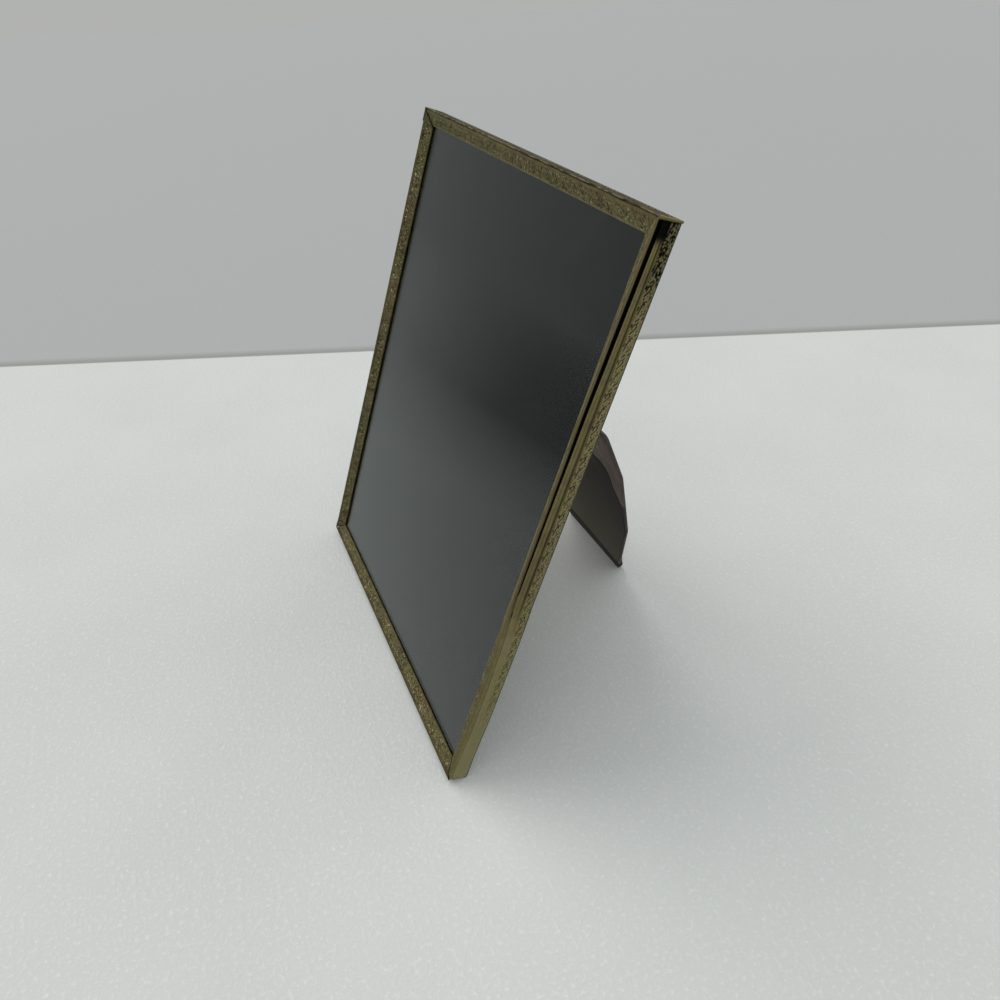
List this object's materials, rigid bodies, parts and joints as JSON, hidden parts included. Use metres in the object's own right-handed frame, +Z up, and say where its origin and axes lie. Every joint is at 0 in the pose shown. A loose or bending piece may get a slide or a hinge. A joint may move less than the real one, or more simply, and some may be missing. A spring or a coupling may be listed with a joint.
{
  "type": "easel back photo frame",
  "caption": "Table picture frame of folded, embossed brass moulding with clear glass, a board back held by turn buttons and a hinged easel leg.",
  "frame": {"origin": "on the floor, under the middle of the standing object", "axes": "+Z up, -Y the way the picture faces, +X to the right seen from the front"},
  "size_m": [0.2084, 0.1534, 0.2483],
  "materials": {
    "brass_moulding": "aged dull brass, dark in the recesses",
    "key_steel": "plain steel strip",
    "picture_glass": "clear float glass",
    "black_paper": "matt black",
    "grey_card": "plain greyboard",
    "fibreboard": "plain hardboard",
    "brown_covering": "worn brown flock paper",
    "dark_lining": "matt dark paper",
    "dark_binding": "matt dark cloth tape",
    "button_brass": "dull brass",
    "rivet_brass": "dull brass",
    "hinge_metal": "brassed steel, worn",
    "pin_steel": "steel wire"
  },
  "bodies": {
    "frame": {"top_rail": "brass_moulding", "bottom_rail": "brass_moulding", "left_stile": "brass_moulding", "right_stile": "brass_moulding", "corner_key_top_left": "key_steel", "corner_key_top_right": "key_steel", "corner_key_bottom_left": "key_steel", "corner_key_bottom_right": "key_steel", "glass_pane": "picture_glass", "backing_sheet": "black_paper", "filler_card": "grey_card", "back_board": "fibreboard", "back_cover": "brown_covering", "button_rivets": "rivet_brass", "hinge_leaf_fixed": "hinge_metal", "hinge_pin": "pin_steel", "fixed_leaf_rivets": "rivet_brass"},
    "leg": {"hinge_leaf_moving": "hinge_metal", "moving_leaf_rivets": "rivet_brass", "leg_board": "fibreboard", "leg_cover": "brown_covering", "leg_lining": "dark_lining", "foot_binding": "dark_binding"},
    "button_1": {"turn_button_1": "button_brass"},
    "button_2": {"turn_button_2": "button_brass"},
    "button_3": {"turn_button_3": "button_brass"},
    "button_4": {"turn_button_4": "button_brass"},
    "button_5": {"turn_button_5": "button_brass"},
    "button_6": {"turn_button_6": "button_brass"}
  },
  "joints": [
    {"name": "leg_fold", "type": "hinge", "parent": "frame", "child": "leg", "pos_m": [0, 0.00609, 0.20717], "axis": [-1, 0, 0], "range_deg": [0, 37.6]},
    {"name": "button_turn_1", "type": "hinge", "parent": "frame", "child": "button_1", "pos_m": [-0.0948, -0.00672, 0.17918], "axis": [0, -0.9455, 0.3256], "range_deg": [0, 90]},
    {"name": "button_turn_2", "type": "hinge", "parent": "frame", "child": "button_2", "pos_m": [-0.0948, -0.04557, 0.06635], "axis": [0, -0.9455, 0.3256], "range_deg": [0, 90]},
    {"name": "button_turn_3", "type": "hinge", "parent": "frame", "child": "button_3", "pos_m": [0, -0.0656, 0.00817], "axis": [0, -0.9455, 0.3256], "range_deg": [0, 90]},
    {"name": "button_turn_4", "type": "hinge", "parent": "frame", "child": "button_4", "pos_m": [0.0948, -0.04557, 0.06635], "axis": [0, -0.9455, 0.3256], "range_deg": [0, 90]},
    {"name": "button_turn_5", "type": "hinge", "parent": "frame", "child": "button_5", "pos_m": [0.0948, -0.00672, 0.17918], "axis": [0, -0.9455, 0.3256], "range_deg": [0, 90]},
    {"name": "button_turn_6", "type": "hinge", "parent": "frame", "child": "button_6", "pos_m": [0, 0.01331, 0.23736], "axis": [0, -0.9455, 0.3256], "range_deg": [0, 90]}
  ]
}
